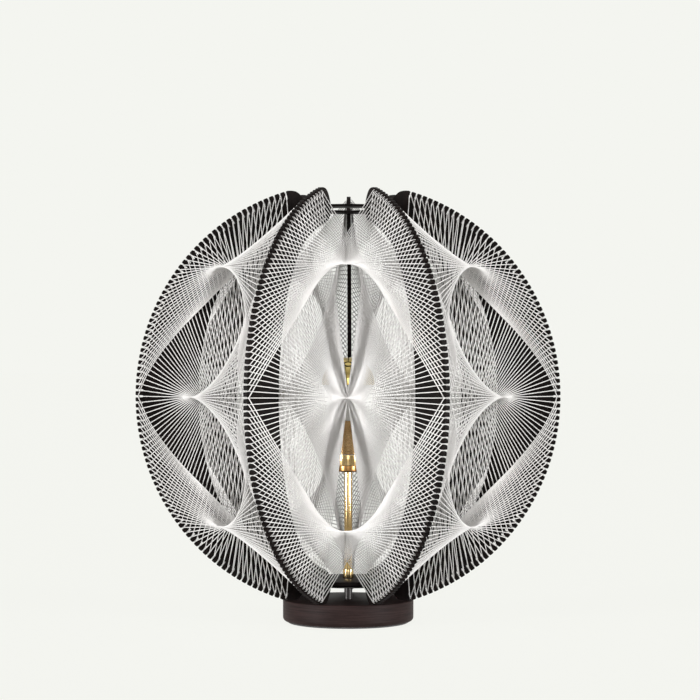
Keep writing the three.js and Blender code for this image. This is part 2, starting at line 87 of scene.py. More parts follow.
# Node helpers for materials
class Shader:
    """A material's node tree with short calls for the nodes used here."""

    def __init__(self, name):
        self.material = bpy.data.materials.new(name)
        self.material.use_nodes = True
        self.tree = self.material.node_tree
        self.surface = self.tree.nodes["Principled BSDF"]
        self.output = self.tree.nodes["Material Output"]
        self.place = self.tree.nodes.new("ShaderNodeTexCoord").outputs["Object"]

    def link(self, source, target):
        self.tree.links.new(source, target)

    def noise(self, scale, stretch=(1, 1, 1), detail=4.0, roughness=0.55):
        """Noise on the lamp's own coordinates, longest along the axis with the least stretch."""
        mapping = self.tree.nodes.new("ShaderNodeMapping")
        mapping.inputs["Scale"].default_value = stretch
        self.link(self.place, mapping.inputs["Vector"])
        node = self.tree.nodes.new("ShaderNodeTexNoise")
        node.inputs["Scale"].default_value = scale
        node.inputs["Detail"].default_value = detail
        node.inputs["Roughness"].default_value = roughness
        self.link(mapping.outputs["Vector"], node.inputs["Vector"])
        return node.outputs["Fac"]

    def two_tone(self, factor, first, second):
        """A colour between two stops, each a position and a colour."""
        node = self.tree.nodes.new("ShaderNodeValToRGB")
        for element, (position, color) in zip(node.color_ramp.elements, (first, second)):
            element.position = position
            element.color = (*color, 1)
        self.link(factor, node.inputs["Fac"])
        return node.outputs["Color"]

    def span(self, factor, low, high):
        node = self.tree.nodes.new("ShaderNodeMapRange")
        node.inputs["To Min"].default_value = low
        node.inputs["To Max"].default_value = high
        self.link(factor, node.inputs["Value"])
        return node.outputs["Result"]

    def tinted(self, color, cast):
        """A colour multiplied by a cast."""
        node = self.tree.nodes.new("ShaderNodeMix")
        node.data_type = "RGBA"
        node.blend_type = "MULTIPLY"
        node.inputs["Factor"].default_value = 1.0
        self.link(color, node.inputs["A"])
        self.link(cast, node.inputs["B"])
        return node.outputs["Result"]

    def combine(self, operation, first, second):
        """One value from two by arithmetic, where each is a number or a socket."""
        node = self.tree.nodes.new("ShaderNodeMath")
        node.operation = operation
        for socket, value in zip(node.inputs, (first, second)):
            if isinstance(value, float):
                socket.default_value = value
            else:
                self.link(value, socket)
        return node.outputs["Value"]

    def color(self, source):
        self.link(source, self.surface.inputs["Base Color"])

    def roughness(self, source):
        self.link(source, self.surface.inputs["Roughness"])

    def bump(self, height, strength, distance):
        node = self.tree.nodes.new("ShaderNodeBump")
        node.inputs["Strength"].default_value = strength
        node.inputs["Distance"].default_value = distance
        self.link(height, node.inputs["Height"])
        self.link(node.outputs["Normal"], self.surface.inputs["Normal"])

    def set(self, **values):
        for name, value in values.items():
            self.surface.inputs[name.replace("_", " ")].default_value = value


# Materials
WOOD_GRAIN = 26.0
STREAK_SHARE = 0.22
PORE_SHARE = 4.2


def stained_wood(name, dark, light, stretch, rough):
    """Dark stained wood: long grain, fine pores and an uneven satin finish."""
    s = Shader(name)
    grain = s.noise(WOOD_GRAIN, stretch, detail=6.0, roughness=0.6)
    streak = s.noise(WOOD_GRAIN * STREAK_SHARE, stretch, detail=3.0)
    pores = s.noise(WOOD_GRAIN * PORE_SHARE, stretch, detail=2.0, roughness=0.5)
    stain = s.two_tone(grain, (0.3, dark), (0.7, light))
    cast = s.two_tone(streak, (0.3, (0.72, 0.7, 0.7)), (0.7, (1.0, 1.0, 1.0)))
    s.color(s.tinted(stain, cast))
    s.roughness(s.span(streak, *rough))
    s.set(Specular_IOR_Level=0.08)
    s.bump(s.combine("ADD", grain, pores), 0.35, 0.00018)
    return s.material


def bare_metal(name, bright, dull, rough):
    """Metal with faint tarnish and fine handling marks."""
    s = Shader(name)
    s.set(Metallic=1.0)
    tarnish = s.noise(60.0, detail=3.0)
    marks = s.noise(900.0, detail=2.0)
    s.color(s.two_tone(tarnish, (0.3, dull), (0.62, bright)))
    s.roughness(s.span(s.combine("MULTIPLY", tarnish, marks), *rough))
    s.bump(marks, 0.06, 0.00004)
    return s.material


def white_cord():
    """White twisted nylon cord with a soft sheen."""
    s = Shader("white nylon cord")
    s.set(Roughness=0.42, Sheen_Weight=0.25, Sheen_Roughness=0.4)
    fibre = s.noise(2600.0, detail=2.0)
    tone = s.noise(14.0, detail=1.0)
    nylon = s.two_tone(fibre, (0.3, (0.79, 0.778, 0.765)), (0.6, (0.9, 0.888, 0.876)))
    cast = s.two_tone(tone, (0.3, (0.965, 0.955, 0.95)), (0.7, (1.0, 1.0, 1.0)))
    s.color(s.tinted(nylon, cast))
    s.bump(fibre, 0.3, 0.0001)
    return s.material


def fired_white():
    """Glazed white porcelain."""
    s = Shader("white porcelain")
    s.set(Roughness=0.22, Coat_Weight=0.4)
    tone = s.noise(120.0, detail=2.0)
    s.color(s.two_tone(tone, (0.3, (0.78, 0.76, 0.7)), (0.7, (0.84, 0.82, 0.77))))
    s.bump(tone, 0.05, 0.0001)
    return s.material


def wool_felt():
    """Dark felt with loose hairs."""
    s = Shader("dark wool felt")
    s.set(Sheen_Weight=0.6, Sheen_Roughness=0.6, Roughness=0.95)
    hair = s.noise(1900.0, detail=5.0, roughness=0.75)
    s.color(s.two_tone(hair, (0.3, (0.012, 0.012, 0.013)), (0.75, (0.05, 0.05, 0.054))))
    s.bump(hair, 0.8, 0.0004)
    return s.material


def black_moulding():
    """Black plastic with the fine grain of its mould."""
    s = Shader("black moulded plastic")
    s.set(Base_Color=(0.018, 0.018, 0.018, 1))
    skin = s.noise(1500.0, detail=2.0)
    s.roughness(s.span(skin, 0.38, 0.52))
    s.bump(skin, 0.25, 0.00006)
    return s.material


def frosted_glass():
    """Bulb glass frosted on the inside: white, and a little light passes through."""
    s = Shader("frosted bulb glass")
    s.set(Transmission_Weight=0.12, IOR=1.47)
    haze = s.noise(35.0, detail=2.0)
    s.color(s.two_tone(haze, (0.3, (0.9, 0.9, 0.87)), (0.7, (0.95, 0.95, 0.92))))
    s.roughness(s.span(haze, 0.22, 0.32))
    return s.material


def satin_black():
    """Black finished steel, a little worn."""
    s = Shader("satin black steel")
    s.set(Metallic=0.55)
    worn = s.noise(240.0, detail=4.0)
    s.color(s.two_tone(worn, (0.3, (0.012, 0.011, 0.011)), (0.75, (0.03, 0.027, 0.026))))
    s.roughness(s.span(worn, 0.28, 0.42))
    s.bump(worn, 0.08, 0.00005)
    return s.material


# The material of each slot
FINISHES = {
    "rib_wood": stained_wood(
        "dark stained rib wood", dark=(0.0022, 0.0014, 0.0012), light=(0.009, 0.0052, 0.0045),
        stretch=(9, 9, 1.2), rough=(0.42, 0.6),
    ),
    "base_wood": stained_wood(
        "turned dark base wood", dark=(0.0125, 0.0068, 0.0062), light=(0.039, 0.0235, 0.0225),
        stretch=(1, 1, 26), rough=(0.46, 0.62),
    ),
    "polished_brass": bare_metal("polished brass", (0.66, 0.48, 0.24), (0.53, 0.36, 0.15), (0.08, 0.3)),
    "holder_brass": bare_metal("satin holder brass", (0.37, 0.24, 0.115), (0.26, 0.155, 0.07), (0.2, 0.45)),
    "dark_brass": bare_metal("aged dark brass", (0.36, 0.19, 0.07), (0.2, 0.1, 0.035), (0.25, 0.5)),
    "gold_mirror": bare_metal("gold mirror crown", (0.56, 0.44, 0.17), (0.48, 0.36, 0.12), (0.05, 0.16)),
    "zinc": bare_metal("zinc plated steel", (0.6, 0.6, 0.6), (0.45, 0.45, 0.46), (0.25, 0.5)),
    "black_steel": satin_black(),
    "white_cord": white_cord(),
    "porcelain": fired_white(),
    "felt": wool_felt(),
    "black_plastic": black_moulding(),
    "bulb_glass": frosted_glass(),
}


# Mesh helpers
SMOOTH_ANGLE = math.radians(35)
NEARLY_STRAIGHT = math.radians(165)
ROUND_STEPS = 4
ROUND_SHARE = 0.45
TINY = 1e-6


def finished(name, bm, material):
    """A new object from a bmesh, with soft shading broken at sharp edges."""
    mesh = bpy.data.meshes.new(name)
    bm.to_mesh(mesh)
    bm.free()
    piece = bpy.data.objects.new(name, mesh)
    scene.collection.objects.link(piece)
    piece.data.materials.append(material)
    shade(piece)
    return piece


def shade(piece):
    """Smooth shading with the sharp edges kept."""
    mesh = piece.data
    mesh.shade_smooth()
    bm = bmesh.new()
    bm.from_mesh(mesh)
    for edge in bm.edges:
        edge.smooth = len(edge.link_faces) == 2 and edge.calc_face_angle(0) < SMOOTH_ANGLE
    bm.to_mesh(mesh)
    bm.free()


def settle(piece):
    """Replaces a piece's mesh by its evaluated result and drops its modifiers."""
    graph = bpy.context.evaluated_depsgraph_get()
    mesh = bpy.data.meshes.new_from_object(piece.evaluated_get(graph))
    piece.modifiers.clear()
    piece.data = mesh
    return piece


def rounded(points, radius):
    """A closed outline with each corner off the axis rounded by up to radius."""
    result = []
    count = len(points)
    for index, point in enumerate(points):
        here = Vector(point)
        back = Vector(points[index - 1]) - here
        ahead = Vector(points[(index + 1) % count]) - here
        if min(here.x, back.length, ahead.length) < TINY:
            result.append(tuple(here))
            continue
        bend = back.angle(ahead)
        if bend > NEARLY_STRAIGHT:
            result.append(tuple(here))
            continue
        reach = min(radius / math.tan(bend / 2), back.length * ROUND_SHARE, ahead.length * ROUND_SHARE)
        start = here + back.normalized() * reach
        end = here + ahead.normalized() * reach
        for step in range(ROUND_STEPS + 1):
            t = step / ROUND_STEPS
            result.append(tuple((1 - t) ** 2 * start + 2 * t * (1 - t) * here + t * t * end))
    return result


def turned(name, outline, material, steps=96, soften=0.0, lying_at=None):
    """A turned piece from a closed outline of (radius, height) points, upright or laid along Y."""
    if soften:
        outline = rounded(outline, soften)
    bm = bmesh.new()
    rings = []
    for radius, height in outline:
        if radius < TINY:
            rings.append([bm.verts.new((0, 0, height))] * steps)
            continue
        ring = []
        for step in range(steps):
            turn = 2 * math.pi * step / steps
            ring.append(bm.verts.new((radius * math.cos(turn), radius * math.sin(turn), height)))
        rings.append(ring)
    for index, ring in enumerate(rings):
        above = rings[(index + 1) % len(rings)]
        for step in range(steps):
            corners = [ring[step], ring[(step + 1) % steps], above[(step + 1) % steps], above[step]]
            unique = list(dict.fromkeys(corners))
            if len(unique) > 2:
                bm.faces.new(unique)
    bmesh.ops.recalc_face_normals(bm, faces=bm.faces)
    if lying_at is not None:
        bmesh.ops.rotate(bm, verts=bm.verts, cent=(0, 0, 0), matrix=Matrix.Rotation(-math.pi / 2, 3, "X"))
        bmesh.ops.translate(bm, verts=bm.verts, vec=(0, 0, lying_at))
    return finished(name, bm, material)


def place(piece, body, slot, *nodes):
    """Puts a piece on its body in the place of CAD nodes."""
    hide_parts(*nodes)
    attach(piece, body)


def make_turned(name, node, outline, slot, body="lamp", **options):
    """A turned piece in the place of one CAD node."""
    place(turned(name, outline, FINISHES[slot], **options), body, slot, node)


def node_sizes(node):
    """Outer radius, foot height and top height of a turned CAD node."""
    low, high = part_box(node)
    return high.x, low.z, high.z


def ring_outline(bore, radius, foot, top):
    """A ring with square corners, or a disc where the bore is nothing."""
    return [(bore, foot), (radius, foot), (radius, top), (bore, top)]


def make_ring(name, node, bore, slot, soften, steps=128):
    """A plain ring, washer or pipe as large as its CAD node."""
    make_turned(name, node, ring_outline(bore, *node_sizes(node)), slot, steps=steps, soften=soften)


# Ribs
# Shares of the cage radius, from the top lobe down the rib's inner edge
LOBE_SHARES = [
    (0.290, 0.9565), (0.272, 0.957), (0.250, 0.953), (0.232, 0.940), (0.216, 0.918),
    (0.204, 0.893), (0.197, 0.868), (0.197, 0.850), (0.206, 0.832), (0.226, 0.810),
    (0.262, 0.792), (0.310, 0.778), (0.384, 0.745), (0.445, 0.709), (0.495, 0.666),
    (0.540, 0.612), (0.573, 0.558), (0.602, 0.504),
]
INNER_CENTRE_SHARE = -0.58
INNER_RADIUS_SHARE = 1.29
INNER_TOP_SHARE = 0.44
INNER_STEPS = 20
SLOT_ROOM = 0.3 * MM
MOUTH_EASE = 0.5 * MM
MOUTH_DEPTHS = (0.02 * MM, 0.3 * MM, 1.0 * MM, 2.0 * MM)
SHARP_CORNER = math.radians(70)
EASED_STEPS = 3


def eased(points, steps=EASED_STEPS):
    """A smooth line through points."""
    result = []
    for index in range(len(points) - 1):
        p1, p2 = Vector(points[index]), Vector(points[index + 1])
        p0 = Vector(points[index - 1]) if index else p1
        p3 = Vector(points[index + 2]) if index + 2 < len(points) else p2
        for step in range(steps):
            t = step / steps
            result.append(
                0.5 * (2 * p1 + (p2 - p0) * t + (2 * p0 - 5 * p1 + 4 * p2 - p3) * t * t
                       + (3 * p1 - p0 - 3 * p2 + p3) * t ** 3)
            )
    result.append(Vector(points[-1]))
    return result


def cut_slot(line, low, high, depth):
    """A line down an inner edge with a square slot cut between two heights."""
    result = []
    inside = False
    for before, after in zip(line, line[1:]):
        result += [] if inside else [before]
        for height in sorted((low, high), reverse=before.y > after.y):
            if (before.y - height) * (after.y - height) < 0:
                share = (height - before.y) / (after.y - before.y)
                edge = before.lerp(after, share)
                inner = Vector((depth, height))
                result += [inner, edge] if inside else [edge, inner]
                inside = not inside
    return result + [line[-1]]


def notch_outline(notch):
    """One notch in the rib's rim: softened mouth, straight walls and a round bottom."""
    angle = notch * NOTCH_STEP
    outward = Vector((math.cos(angle), math.sin(angle)))
    across = Vector((-math.sin(angle), math.cos(angle)))
    half = NOTCH_WIDTH / 2
    rim = CAGE_RADIUS
    side = [
        (half + NOTCH_FLARE + MOUTH_EASE, rim - MOUTH_DEPTHS[0]),
        (half + NOTCH_FLARE * 0.45, rim - MOUTH_DEPTHS[1]),
        (half + NOTCH_FLARE * 0.1, rim - MOUTH_DEPTHS[2]),
        (half, rim - MOUTH_DEPTHS[3]),
        (half, rim - NOTCH_DEPTH + half),
        (half * 0.72, rim - NOTCH_DEPTH + half * 0.3),
    ]
    below = [outward * r - across * w for w, r in side]
    floor = [outward * (rim - NOTCH_DEPTH)]
    above = [outward * r + across * w for w, r in reversed(side)]
    return below + floor + above


def lobe_line(side, node):
    """A lobe at the top (1) or foot (-1) of the rib, slotted for the ring or plate it holds."""
    radius, foot, top = node_sizes(node)
    line = eased([(r * CAGE_RADIUS, side * z * CAGE_RADIUS) for r, z in LOBE_SHARES])
    slot_foot = foot - CAGE_CENTRE - SLOT_ROOM
    slot_top = top - CAGE_CENTRE + SLOT_ROOM
    return cut_slot(line, slot_foot, slot_top, radius + SLOT_ROOM)


def rib_outline():
    """A rib's outline from the cage's centre, cut level where it stands on the base."""
    outer = []
    for notch in range(-LAST_NOTCH, LAST_NOTCH + 1):
        outer += notch_outline(notch)
    upper = lobe_line(1, "top_ring")
    inner = []
    for step in range(1, 2 * INNER_STEPS):
        up = INNER_TOP_SHARE * (1 - step / INNER_STEPS)
        across = INNER_CENTRE_SHARE + math.sqrt(INNER_RADIUS_SHARE ** 2 - up ** 2)
        inner.append(Vector((across * CAGE_RADIUS, up * CAGE_RADIUS)))
    lower = lobe_line(-1, "lower_plate")
    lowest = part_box("rib_4")[0].z - CAGE_CENTRE
    line = outer + upper + inner + lower[::-1]
    return [Vector((p.x, max(p.y, lowest))) for p in line]


def one_rib():
    """A rib standing in the XZ plane with its edges eased."""
    line = rib_outline()
    bm = bmesh.new()
    corners = []
    for point in line:
        corner = bm.verts.new((point.x, RIB_THICKNESS / 2, point.y + CAGE_CENTRE))
        if not corners or (corner.co - corners[-1].co).length > TINY:
            corners.append(corner)
    face = bm.faces.new(corners)
    extruded = bmesh.ops.extrude_face_region(bm, geom=[face])
    moved = [item for item in extruded["geom"] if isinstance(item, bmesh.types.BMVert)]
    bmesh.ops.translate(bm, verts=moved, vec=(0, -RIB_THICKNESS, 0))
    bmesh.ops.recalc_face_normals(bm, faces=bm.faces)
    rib = finished("rib_pattern", bm, FINISHES["rib_wood"])
    edges = rib.modifiers.new("eased edges", "BEVEL")
    edges.width = RIB_EDGE
    edges.segments = 2
    edges.limit_method = "ANGLE"
    edges.angle_limit = SHARP_CORNER
    edges.harden_normals = False
    return settle(rib)


# Geometry Nodes
class Nodes:
    """A geometry node tree with named inputs."""

    def __init__(self, name, **kinds):
        self.group = bpy.data.node_groups.new(name, "GeometryNodeTree")
        self.identifiers = {}
        interface = self.group.interface
        interface.new_socket("Geometry", in_out="OUTPUT", socket_type="NodeSocketGeometry")
        for label, kind in {"Geometry": "Geometry", **kinds}.items():
            socket = interface.new_socket(label, in_out="INPUT", socket_type="NodeSocket" + kind)
            self.identifiers[label] = socket.identifier
        self.inputs = self.group.nodes.new("NodeGroupInput").outputs
        self.result = self.group.nodes.new("NodeGroupOutput").inputs["Geometry"]

    def node(self, kind, **settings):
        made = self.group.nodes.new(kind)
        for key, value in settings.items():
            setattr(made, key, value)
        return made

    def link(self, source, target):
        self.group.links.new(source, target)

    def run(self, piece, **values):
        """Runs the tree on a piece and leaves the result as the piece's plain mesh."""
        modifier = piece.modifiers.new(self.group.name, "NODES")
        modifier.node_group = self.group
        for label, value in values.items():
            modifier[self.identifiers[label]] = value
        settle(piece)


def around_axis(tree, geometry, copies):
    """Instances of a geometry turned evenly round the lamp's axis, made real."""
    places = tree.node("GeometryNodeMeshLine")
    tree.link(copies, places.inputs["Count"])
    places.inputs["Offset"].default_value = (0, 0, 0)
    spread = tree.node("GeometryNodeInstanceOnPoints")
    tree.link(places.outputs["Mesh"], spread.inputs["Points"])
    tree.link(geometry, spread.inputs["Instance"])
    index = tree.node("GeometryNodeInputIndex")
    step = tree.node("ShaderNodeMath", operation="DIVIDE")
    step.inputs[0].default_value = 2 * math.pi
    tree.link(copies, step.inputs[1])
    turn = tree.node("ShaderNodeMath", operation="MULTIPLY")
    tree.link(index.outputs["Index"], turn.inputs[0])
    tree.link(step.outputs["Value"], turn.inputs[1])
    vector = tree.node("ShaderNodeCombineXYZ")
    tree.link(turn.outputs["Value"], vector.inputs["Z"])
    tree.link(vector.outputs["Vector"], spread.inputs["Rotation"])
    real = tree.node("GeometryNodeRealizeInstances")
    tree.link(spread.outputs["Instances"], real.inputs["Geometry"])
    return real.outputs["Geometry"]


def set_material_and_end(tree, geometry):
    """Gives the geometry the tree's material and sends it out."""
    finish = tree.node("GeometryNodeSetMaterial")
    tree.link(geometry, finish.inputs["Geometry"])
    tree.link(tree.inputs["Material"], finish.inputs["Material"])
    tree.link(finish.outputs["Geometry"], tree.result)


def repeat_tree():
    """One rib to a rib for every copy round the lamp's axis."""
    tree = Nodes("ribs round the axis", Copies="Int", Material="Material")
    real = around_axis(tree, tree.inputs["Geometry"], tree.inputs["Copies"])
    set_material_and_end(tree, real)
    return tree


def winding_tree():
    """Lines of one panel to cords, repeated for every panel."""
    tree = Nodes("cord winding", Copies="Int", CordRadius="Float", CordSides="Int", Material="Material")
    lines = tree.node("GeometryNodeMeshToCurve")
    tree.link(tree.inputs["Geometry"], lines.inputs["Mesh"])
    section = tree.node("GeometryNodeCurvePrimitiveCircle")
    tree.link(tree.inputs["CordSides"], section.inputs["Resolution"])
    tree.link(tree.inputs["CordRadius"], section.inputs["Radius"])
    cords = tree.node("GeometryNodeCurveToMesh")
    cords.inputs["Fill Caps"].default_value = True
    tree.link(lines.outputs["Curve"], cords.inputs["Curve"])
    tree.link(section.outputs["Curve"], cords.inputs["Profile Curve"])
    soft = tree.node("GeometryNodeSetShadeSmooth")
    tree.link(cords.outputs["Mesh"], soft.inputs["Geometry"])
    real = around_axis(tree, soft.outputs["Geometry"], tree.inputs["Copies"])
    set_material_and_end(tree, real)
    return tree


# Cord winding
# The crosswise strings are wound first, and the arc strings then lie over them and press them in
CROSS_SEATS = (4.0 * MM, 5.0 * MM)
ARC_SEATS = (2.3 * MM, 3.3 * MM)
FACE_GAP = 0.75 * MM
CORNER_EASE = 1.1 * MM
LEAST_BEND = 0.1 * MM
LEAST_SPAN = 0.02 * MM
SWEEPS = 300
OVERSHOOT = 1.9
END_SHARE = 0.0005
PARALLEL = 1e-12


def seat(side, notch, depth, ahead):
    """A cord's place at a notch of the left (-1) or right (1) rib of the front panel."""
    azimuth = side * HALF_PANEL
    angle = notch * NOTCH_STEP
    across = (CAGE_RADIUS - depth) * math.cos(angle)
    along = -side * ahead
    return Vector((
        across * math.sin(azimuth) + along * math.cos(azimuth),
        -across * math.cos(azimuth) + along * math.sin(azimuth),
        CAGE_CENTRE + (CAGE_RADIUS - depth) * math.sin(angle),
    ))


class TautString:
    """A string of the front panel between the faces of its two ribs, and where others cross it."""

    def __init__(self, left, right, seats, outer):
        depth = seats[0] if outer else seats[1]
        middle = (seats[0] + seats[1]) / 2
        ahead = RIB_THICKNESS / 2 + FACE_GAP
        self.left_hook = seat(-1, left, middle, 0)
        self.start = seat(-1, left, depth, ahead)
        self.end = seat(1, right, depth, ahead)
        self.right_hook = seat(1, right, middle, 0)
        self.run = self.end - self.start
        self.crossings = []
        self.first = 0

    def point(self, share, outward):
        """A point of the string, straight as seen from the front, at a distance out from the axis."""
        straight = self.start + self.run * share
        return Vector((straight.x, -outward, straight.z))


def crossing_shares(over, under):
    """How far along each of two strings they cross, seen from the front, or None."""
    turn = over.run.x * under.run.z - over.run.z * under.run.x
    if abs(turn) < PARALLEL:
        return None
    apart = under.start - over.start
    share = (apart.x * under.run.z - apart.z * under.run.x) / turn
    other = (apart.x * over.run.z - apart.z * over.run.x) / turn
    if min(share, other) < END_SHARE or max(share, other) > 1 - END_SHARE:
        return None
    return share, other


def list_stops(strings):
    """One row for each end and crossing: how far out it is, and how its neighbours pull it."""
    outward, pulls, rows = [], [], {}
    for string in strings:
        string.first = len(outward)
        string.crossings = [(0.0, None)] + sorted(string.crossings) + [(1.0, None)]
        shares = [share for share, meeting in string.crossings]
        length = string.run.length
        for index, (share, meeting) in enumerate(string.crossings):
            if meeting is not None:
                rows[meeting, string] = len(outward)
                before = max((share - shares[index - 1]) * length, LEAST_SPAN)
                after = max((shares[index + 1] - share) * length, LEAST_SPAN)
                both = before + after
                pulls.append((after / both, before / both, before * after / both))
            else:
                pulls.append(None)
            outward.append(-(string.start.y + string.run.y * share))
    return outward, pulls, rows


def press(over, under):
    """Moves the strings out or in until each outer one lies on or clear of every inner one."""
    meetings = []
    for upper in over:
        for lower in under:
            shares = crossing_shares(upper, lower)
            if shares:
                upper.crossings.append((shares[0], len(meetings)))
                lower.crossings.append((shares[1], len(meetings)))
                meetings.append((upper, lower))
    outward, pulls, rows = list_stops(over + under)
    touching = []
    for meeting, (upper, lower) in enumerate(meetings):
        high = rows[meeting, upper]
        low = rows[meeting, lower]
        give = pulls[high][2] + pulls[low][2]
        touching.append((high, low, *pulls[high][:2], *pulls[low][:2], pulls[high][2] / give))
    for sweep in range(SWEEPS):
        for high, low, high_back, high_on, low_back, low_on, high_give in touching:
            free_high = outward[high - 1] * high_back + outward[high + 1] * high_on
            free_low = outward[low - 1] * low_back + outward[low + 1] * low_on
            free_high = outward[high] + OVERSHOOT * (free_high - outward[high])
            free_low = outward[low] + OVERSHOOT * (free_low - outward[low])
            pressed = max(0.0, 2 * CORD_RADIUS - free_high + free_low)
            outward[high] = free_high + pressed * high_give
            outward[low] = free_low - pressed * (1 - high_give)
    return outward


def kept_bends(shares, depths):
    """The few stops that hold a string's line to within the least bend."""
    keep = [0, len(shares) - 1]
    spans = [(0, len(shares) - 1)]
    while spans:
        first, last = spans.pop()
        worst, place_of_worst = 0.0, None
        for index in range(first + 1, last):
            along = (shares[index] - shares[first]) / (shares[last] - shares[first])
            straight = depths[first] + (depths[last] - depths[first]) * along
            if abs(depths[index] - straight) > worst:
                worst, place_of_worst = abs(depths[index] - straight), index
        if worst > LEAST_BEND:
            keep.append(place_of_worst)
            spans += [(first, place_of_worst), (place_of_worst, last)]
    return sorted(keep)


def string_line(string, outward):
    """The points of one string, with its two bends beside the ribs' faces eased."""
    shares = [share for share, meeting in string.crossings]
    depths = outward[string.first:string.first + len(shares)]
    middle = [string.point(shares[i], depths[i]) for i in kept_bends(shares, depths)]
    bends = [(string.left_hook, middle[0], middle[1]), (middle[-2], middle[-1], string.right_hook)]
    eased_bends = []
    for before, corner, after in bends:
        back = (before - corner).normalized() * CORNER_EASE
        onward = (after - corner).normalized() * CORNER_EASE
        eased_bends.append([corner + back, corner + (back + onward) * 0.25, corner + onward])
    return [string.left_hook, *eased_bends[0], *middle[1:-1], *eased_bends[1], string.right_hook]


def panel_strings():
    """The strings of one panel: crosswise from rib to rib, and in arcs above and below."""
    crosswise = []
    for notch in range(-LAST_NOTCH, LAST_NOTCH + 1):
        crosswise.append(TautString(notch, -notch, CROSS_SEATS, notch > 0))
    arcs = []
    for notch in range(0, LAST_NOTCH + 1):
        far = LAST_NOTCH - notch
        arcs.append(TautString(notch, far, ARC_SEATS, notch < far))
        arcs.append(TautString(-notch, -far, ARC_SEATS, notch < far))
    outward = press(arcs, crosswise)
    return [[string_line(string, outward) for string in family] for family in (crosswise, arcs)]


def wind(name, lines, tree):
    """The strings of one family as cords round every panel of the lamp."""
    points, edges = [], []
    for line in lines:
        start = len(points)
        points += [tuple(p) for p in line]
        edges += [(start + i, start + i + 1) for i in range(len(line) - 1)]
    mesh = bpy.data.meshes.new(name)
    mesh.from_pydata(points, edges, [])
    piece = bpy.data.objects.new(name, mesh)
    scene.collection.objects.link(piece)
    cord = FINISHES["white_cord"]
    tree.run(piece, Copies=RIB_COUNT, CordRadius=CORD_RADIUS, CordSides=CORD_SIDES, Material=cord)
    place(piece, "lamp", "white_cord", *["cord_panel_%d" % (n + 1) for n in range(RIB_COUNT)])


crosswise_lines, arc_lines = panel_strings()
cord_tree = winding_tree()
wind("crosswise_cords", crosswise_lines, cord_tree)
wind("arc_cords", arc_lines, cord_tree)

ribs = one_rib()
ribs.name = "notched_ribs"
ribs.data.transform(Matrix.Rotation(HALF_PANEL - math.pi / 2, 4, "Z"))
repeat_tree().run(ribs, Copies=RIB_COUNT, Material=FINISHES["rib_wood"])
place(ribs, "lamp", "rib_wood", *["rib_%d" % (n + 1) for n in range(RIB_COUNT)])


# Ring, plate and disc
TOP_RING_BORE = 35 * MM
STEM_HOLE = 4.9 * MM

make_ring("top_tie_ring", "top_ring", TOP_RING_BORE, "rib_wood", 0.6 * MM)
make_ring("rib_plate", "lower_plate", STEM_HOLE, "rib_wood", 0.7 * MM)
make_ring("thin_under_disc", "under_disc", STEM_HOLE, "black_steel", 0.3 * MM)
make_ring("spacer_washer", "plate_spacer", STEM_HOLE, "black_steel", 0.2 * MM)
make_ring("foot_washer", "base_washer", STEM_HOLE, "zinc", 0.25 * MM)


# Base
RECESS_RADIUS = 18 * MM
RECESS_TOP = 15 * MM
INLET_HEIGHT = 10 * MM
INLET_RADIUS = 4.3 * MM
INLET_START = 14 * MM
INLET_END = 78 * MM
FOOT_ROUND = 5 * MM
TOP_ROUND = 1.1 * MM
BUSH_BORE = 2.7 * MM
BUSH_RADIUS = 4.0 * MM
BUSH_FLANGE = 1.8 * MM


def quarter(centre, radius, start, steps):
    """A quarter of a circle from an angle in degrees, as outline points."""
    angles = [math.radians(start + 90 * step / steps) for step in range(steps + 1)]
    return [(centre[0] + radius * math.cos(a), centre[1] + radius * math.sin(a)) for a in angles]


def make_base():
    """The turned base, with a recess for the nut and an inlet drilled from the back."""
    radius, foot, top = node_sizes("base_disc")
    outline = [(STEM_HOLE, RECESS_TOP), (RECESS_RADIUS, RECESS_TOP), (RECESS_RADIUS, foot)]
    outline += quarter((radius - FOOT_ROUND, foot + FOOT_ROUND), FOOT_ROUND, -90, 8)
    outline += quarter((radius - TOP_ROUND, top - TOP_ROUND), TOP_ROUND, 0, 5)
    outline += [(STEM_HOLE, top)]
    wood = FINISHES["base_wood"]
    base = turned("turned_base", outline, wood, steps=192)
    hole = ring_outline(0, INLET_RADIUS, INLET_START, INLET_END)
    drill = turned("inlet_drill", hole, wood, steps=48, lying_at=INLET_HEIGHT)
    cut = base.modifiers.new("cable inlet", "BOOLEAN")
    cut.object = drill
    cut.solver = "EXACT"
    settle(base)
    bpy.data.objects.remove(drill)
    shade(base)
    place(base, "lamp", "base_wood", "base_disc")


def make_bush():
    """The flanged bush in the cable inlet."""
    low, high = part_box("cable_bush")
    flange = high.y - BUSH_FLANGE
    outline = [
        (BUSH_BORE, low.y), (BUSH_RADIUS, low.y), (BUSH_RADIUS, flange),
        (high.x, flange), (high.x, high.y), (BUSH_BORE, high.y),
    ]
    options = {"steps": 64, "soften": 0.5 * MM, "lying_at": INLET_HEIGHT}
    make_turned("cable_inlet_bush", "cable_bush", outline, "black_plastic", **options)


make_base()
make_ring("felt_pad", "base_pad", 0, "felt", 0.4 * MM)
make_bush()

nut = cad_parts["base_nut"]
nut.data.materials.clear()
nut.data.materials.append(FINISHES["zinc"])


# Stem
STEM_BORE = 3.1 * MM

make_ring("dark_nipple", "stem_nipple", STEM_BORE, "black_steel", 0.25 * MM, 64)
make_ring("brass_stem", "stem_tube", STEM_BORE, "polished_brass", 0.25 * MM, 64)
make_ring("stem_coupling_nut", "stem_coupling", STEM_HOLE, "polished_brass", 0.8 * MM, 64)


